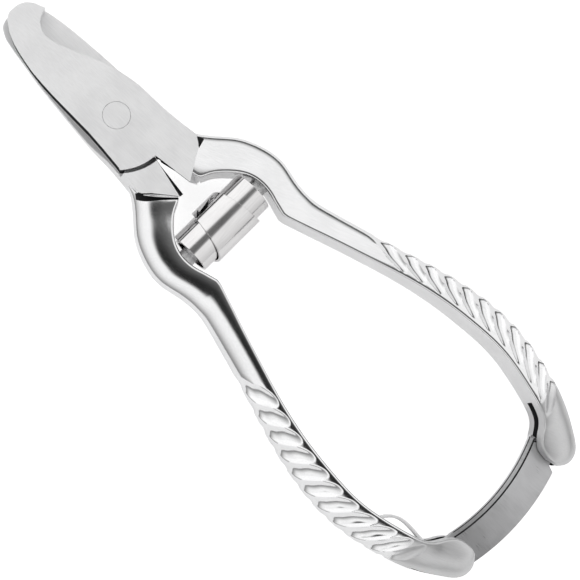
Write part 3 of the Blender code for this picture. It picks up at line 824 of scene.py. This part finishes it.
class Nodes:
    """A short way to add and join shader nodes."""

    def __init__(self, tree):
        self.tree = tree

    def add(self, kind, inputs=(), **settings):
        node = self.tree.nodes.new(kind)
        for key, value in settings.items():
            setattr(node, key, value)
        for socket, value in dict(inputs).items():
            if isinstance(value, bpy.types.NodeSocket):
                self.tree.links.new(value, node.inputs[socket])
            else:
                node.inputs[socket].default_value = value
        return node

    def maths(self, operation, first, second=0.0):
        return self.add("ShaderNodeMath", {0: first, 1: second}, operation=operation).outputs[0]

    def noise(self, vector, scale, detail=4.0, roughness=0.55):
        inputs = {"Vector": vector, "Scale": scale, "Detail": detail, "Roughness": roughness}
        return self.add("ShaderNodeTexNoise", inputs).outputs["Fac"]

    def parts(self, vector):
        """The vector's x, y and z."""
        return self.add("ShaderNodeSeparateXYZ", {0: vector}).outputs

    def vector(self, operation, first, second=None, output=0):
        inputs = {0: first} if second is None else {0: first, 1: second}
        return self.add("ShaderNodeVectorMath", inputs, operation=operation).outputs[output]

    def spread(self, value, low, high, to_low, to_high):
        """value from low..high mapped to to_low..to_high, with a smooth step and held at the ends."""
        inputs = {"Value": value, "From Min": low, "From Max": high, "To Min": to_low, "To Max": to_high}
        return self.add("ShaderNodeMapRange", inputs, interpolation_type="SMOOTHSTEP").outputs[0]

    def stretched(self, angle, along, across):
        """Object coordinates in millimetres, turned by angle about Z and squeezed along the brushing."""
        place = self.add("ShaderNodeTexCoord").outputs["Object"]
        scale = (along / MM, across / MM, across / MM)
        inputs = {"Vector": place, "Rotation": (0.0, 0.0, 0.0), "Scale": (1.0, 1.0, 1.0)}
        turn = self.add("ShaderNodeMapping", {**inputs, "Rotation": (0.0, 0.0, math.radians(angle))})
        return self.add("ShaderNodeMapping", {**inputs, "Vector": turn.outputs[0], "Scale": scale}).outputs[0]


def steel(name, colour, roughness, brush, bump, metallic=1.0, shade_zone=None):
    """Bare steel. brush is (angle, along, across): the direction and the size of the grinding marks.

    The last argument is (axis, low, high, extra, darken): below low on that axis the steel is rougher by
    extra and darker by darken, a painted shade, and above high it is as it was.
    """
    material = bpy.data.materials.new(name)
    material.use_nodes = True
    tree = material.node_tree
    nodes = Nodes(tree)
    shader = tree.nodes["Principled BSDF"]
    marks = nodes.noise(nodes.stretched(*brush), 1.0, 5.0, 0.6)
    cloud = nodes.noise(nodes.stretched(0.0, 0.15, 0.15), 1.0, 2.0)
    fine = nodes.spread(marks, 0.3, 0.7, -0.5, 0.5)
    broad = nodes.spread(cloud, 0.3, 0.7, -0.3, 0.3)
    level = nodes.maths("ADD", fine, broad)
    rough = nodes.spread(level, -0.8, 0.8, roughness * 0.75, roughness * 1.25)
    tone = nodes.add("ShaderNodeValToRGB", {"Fac": nodes.spread(level, -0.8, 0.8, 0.0, 1.0)})
    tone.color_ramp.elements[0].color = (*(c * 0.93 for c in colour), 1.0)
    tone.color_ramp.elements[1].color = (*(min(c * 1.04, 1.0) for c in colour), 1.0)
    shade = tone.outputs[0]
    # Painted shade: darker, and also rougher, below low on the given axis.
    if shade_zone:
        axis, low, high, extra, darken = shade_zone
        place = nodes.add("ShaderNodeTexCoord").outputs["Object"]
        inside = nodes.spread(nodes.parts(place)[axis], low, high, 1.0, 0.0)
        rough = nodes.maths("ADD", rough, nodes.maths("MULTIPLY", inside, extra))
        dimmed = nodes.maths("SUBTRACT", 1.0, nodes.maths("MULTIPLY", inside, darken))
        shade = nodes.add("ShaderNodeVectorMath", {0: shade, 3: dimmed}, operation="SCALE").outputs[0]
    tree.links.new(shade, shader.inputs["Base Color"])
    tree.links.new(rough, shader.inputs["Roughness"])
    shader.inputs["Metallic"].default_value = metallic
    shader.inputs["Specular IOR Level"].default_value = min(metallic, 0.5)
    relief = nodes.add("ShaderNodeBump", {"Height": marks, "Strength": bump, "Distance": 0.01 * MM})
    tree.links.new(relief.outputs[0], shader.inputs["Normal"])
    return material


# -------------------------------------------------------------------------- floor, light and camera


def make_floor():
    low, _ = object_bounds()
    z = low[2]
    mesh = bpy.data.meshes.new("floor")
    half = FLOOR_HALF
    corners = [(-half, -half, z), (half, -half, z), (half, half, z), (-half, half, z)]
    mesh.from_pydata(corners, [], [(0, 1, 2, 3)])
    floor = bpy.data.objects.new("floor", mesh)
    bpy.context.scene.collection.objects.link(floor)
    material = bpy.data.materials.new("pale_sheet")
    material.use_nodes = True
    nodes = Nodes(material.node_tree)
    seen = nodes.add("ShaderNodeLightPath").outputs["Is Camera Ray"]
    shader = material.node_tree.nodes["Principled BSDF"]
    shader.inputs["Base Color"].default_value = (FLOOR_WHITE, FLOOR_WHITE, FLOOR_WHITE, 1.0)
    shader.inputs["Roughness"].default_value = FLOOR_ROUGHNESS
    shader.inputs["Emission Color"].default_value = (1.0, 1.0, 1.0, 1.0)
    glow = nodes.spread(seen, 0.0, 1.0, FLOOR_GLOW, FLOOR_GLOW_SEEN)
    material.node_tree.links.new(glow, shader.inputs["Emission Strength"])
    mesh.materials.append(material)


def make_tent():
    """A white tent, dark where the photograph's camera looks in and in places low down beside the table."""
    world = bpy.data.worlds.new("tent")
    bpy.context.scene.world = world
    world.use_nodes = True
    nodes = Nodes(world.node_tree)
    background = world.node_tree.nodes["Background"]
    direction = nodes.add("ShaderNodeTexCoord").outputs["Generated"]
    across, _, height = nodes.parts(direction)
    level_way = nodes.vector("MULTIPLY", direction, (1.0, 1.0, 0.0))
    east, north, _ = nodes.parts(nodes.vector("NORMALIZE", level_way))
    walls = (
        (north, 1, nodes.spread(height, 0.1, 0.22, 0.05, 1.15)),
        (east, -1, nodes.spread(height, 0.0, 0.75, 0.28, 1.05)),
        (east, 1, nodes.spread(height, 0.08, 0.5, 0.02, 1.0)),
    )
    tent = nodes.spread(height, 0.0, 0.9, 0.74, 0.95)
    for heading_part, way, wall in walls:
        near = nodes.spread(heading_part, 0.25 * way, 0.75 * way, 0.0, 1.0)
        change = nodes.maths("SUBTRACT", wall, tent)
        tent = nodes.maths("ADD", tent, nodes.maths("MULTIPLY", change, near))
    depth = nodes.spread(across, -0.35, 0.1, 0.02, 0.16)
    hole = 0.0
    for lean_x, lean_y, half in OPENING:
        lean = (math.tan(math.radians(lean_x)), math.tan(math.radians(lean_y)), 1.0)
        facing = nodes.vector("DOT_PRODUCT", direction, Vector(lean).normalized(), "Value")
        edge_out = math.cos(math.radians(half + OPENING_SOFT))
        edge_in = math.cos(math.radians(half - OPENING_SOFT))
        disc = nodes.spread(facing, edge_out, edge_in, 0.0, 1.0)
        hole = nodes.maths("MAXIMUM", hole, disc)
    change = nodes.maths("SUBTRACT", depth, tent)
    tent = nodes.maths("ADD", tent, nodes.maths("MULTIPLY", hole, change))
    world.node_tree.links.new(tent, background.inputs["Strength"])
    background.inputs["Color"].default_value = (1.0, 1.0, 1.0, 1.0)


def make_camera():
    back = (Vector(CAMERA) - Vector(TARGET)).normalized()
    up_hint = Vector((math.cos(PICTURE_UP), math.sin(PICTURE_UP), 0.0))
    right = up_hint.cross(back).normalized()
    up = back.cross(right)
    data = bpy.data.cameras.new("camera")
    data.lens = LENS
    data.sensor_width = 36.0
    data.clip_start = 0.01
    camera = bpy.data.objects.new("camera", data)
    rotation = Matrix((right, up, back)).transposed().to_4x4()
    camera.matrix_world = Matrix.Translation(Vector(CAMERA) * MM) @ rotation
    bpy.context.scene.collection.objects.link(camera)
    bpy.context.scene.camera = camera


def main():
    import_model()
    # Painted shade: the handles' ends are darker, and also rougher, and the strap darker towards -X.
    bulb = (1, -98.5 * MM, -95.5 * MM, 0.3, 0.24)
    strap_painted_shade = (0, -14.0 * MM, 10.0 * MM, 0.0, 0.34)
    polished = steel("polished_steel_fine", (0.87, 0.87, 0.875), 0.12, (70.0, 0.3, 9.0), 0.1, shade_zone=bulb)
    satin = steel("satin_steel_fine", (0.96, 0.96, 0.965), 0.5, (90.0, 0.4, 9.0), 0.3, 0.4)
    # Near-black steel: painted dark reflection and painted shade on the levers' walls and the strap's bevel.
    painted_shade_and_reflection = steel("painted_shade_and_reflection_steel_fine", (0.035, 0.035, 0.037), 0.7, (0.0, 0.4, 6.0), 0.1, 0.0)
    spring_steel = steel("spring_steel_fine", (0.8, 0.79, 0.79), 0.1, (0.0, 0.3, 9.0), 0.2)
    brushed = steel("brushed_steel_fine", (0.76, 0.76, 0.77), 0.36, (90.0, 0.5, 9.0), 0.35, shade_zone=strap_painted_shade)
    make_levers([polished, satin, painted_shade_and_reflection])
    rivet = chamfered_pin(RIVET_RADIUS, JOINT_HALF, 0.06)
    turned_piece("pivot_rivet_steel", rivet, Matrix(), satin, "back", "pivot_rivet")
    turned_piece("front_stud_steel", stud_profile(), along_x(), satin, "front", "front_spring_stud")
    turned_piece("back_stud_steel", stud_profile(), HALF_TURN @ along_x(), satin, "back", "back_spring_stud")
    make_spring(spring_steel)
    for name, centre, radius, body, node in (
        ("hinge_pin_steel", HINGE_PIN, HINGE_PIN_RADIUS, "back", "strap_hinge_pin"),
        ("catch_pin_steel", CATCH_PIN, CATCH_PIN_RADIUS, "front", "catch_pin"),
    ):
        place = Matrix.Translation(Vector((*centre, 0.0)) * MM)
        turned_piece(name, chamfered_pin(radius, PIN_HALF_LENGTH, 0.15), place, satin, body, node)
    make_strap([brushed, painted_shade_and_reflection])
    make_leaf(satin)
    make_floor()
    make_tent()
    make_camera()
    bpy.context.scene.view_settings.view_transform = "Standard"


main()
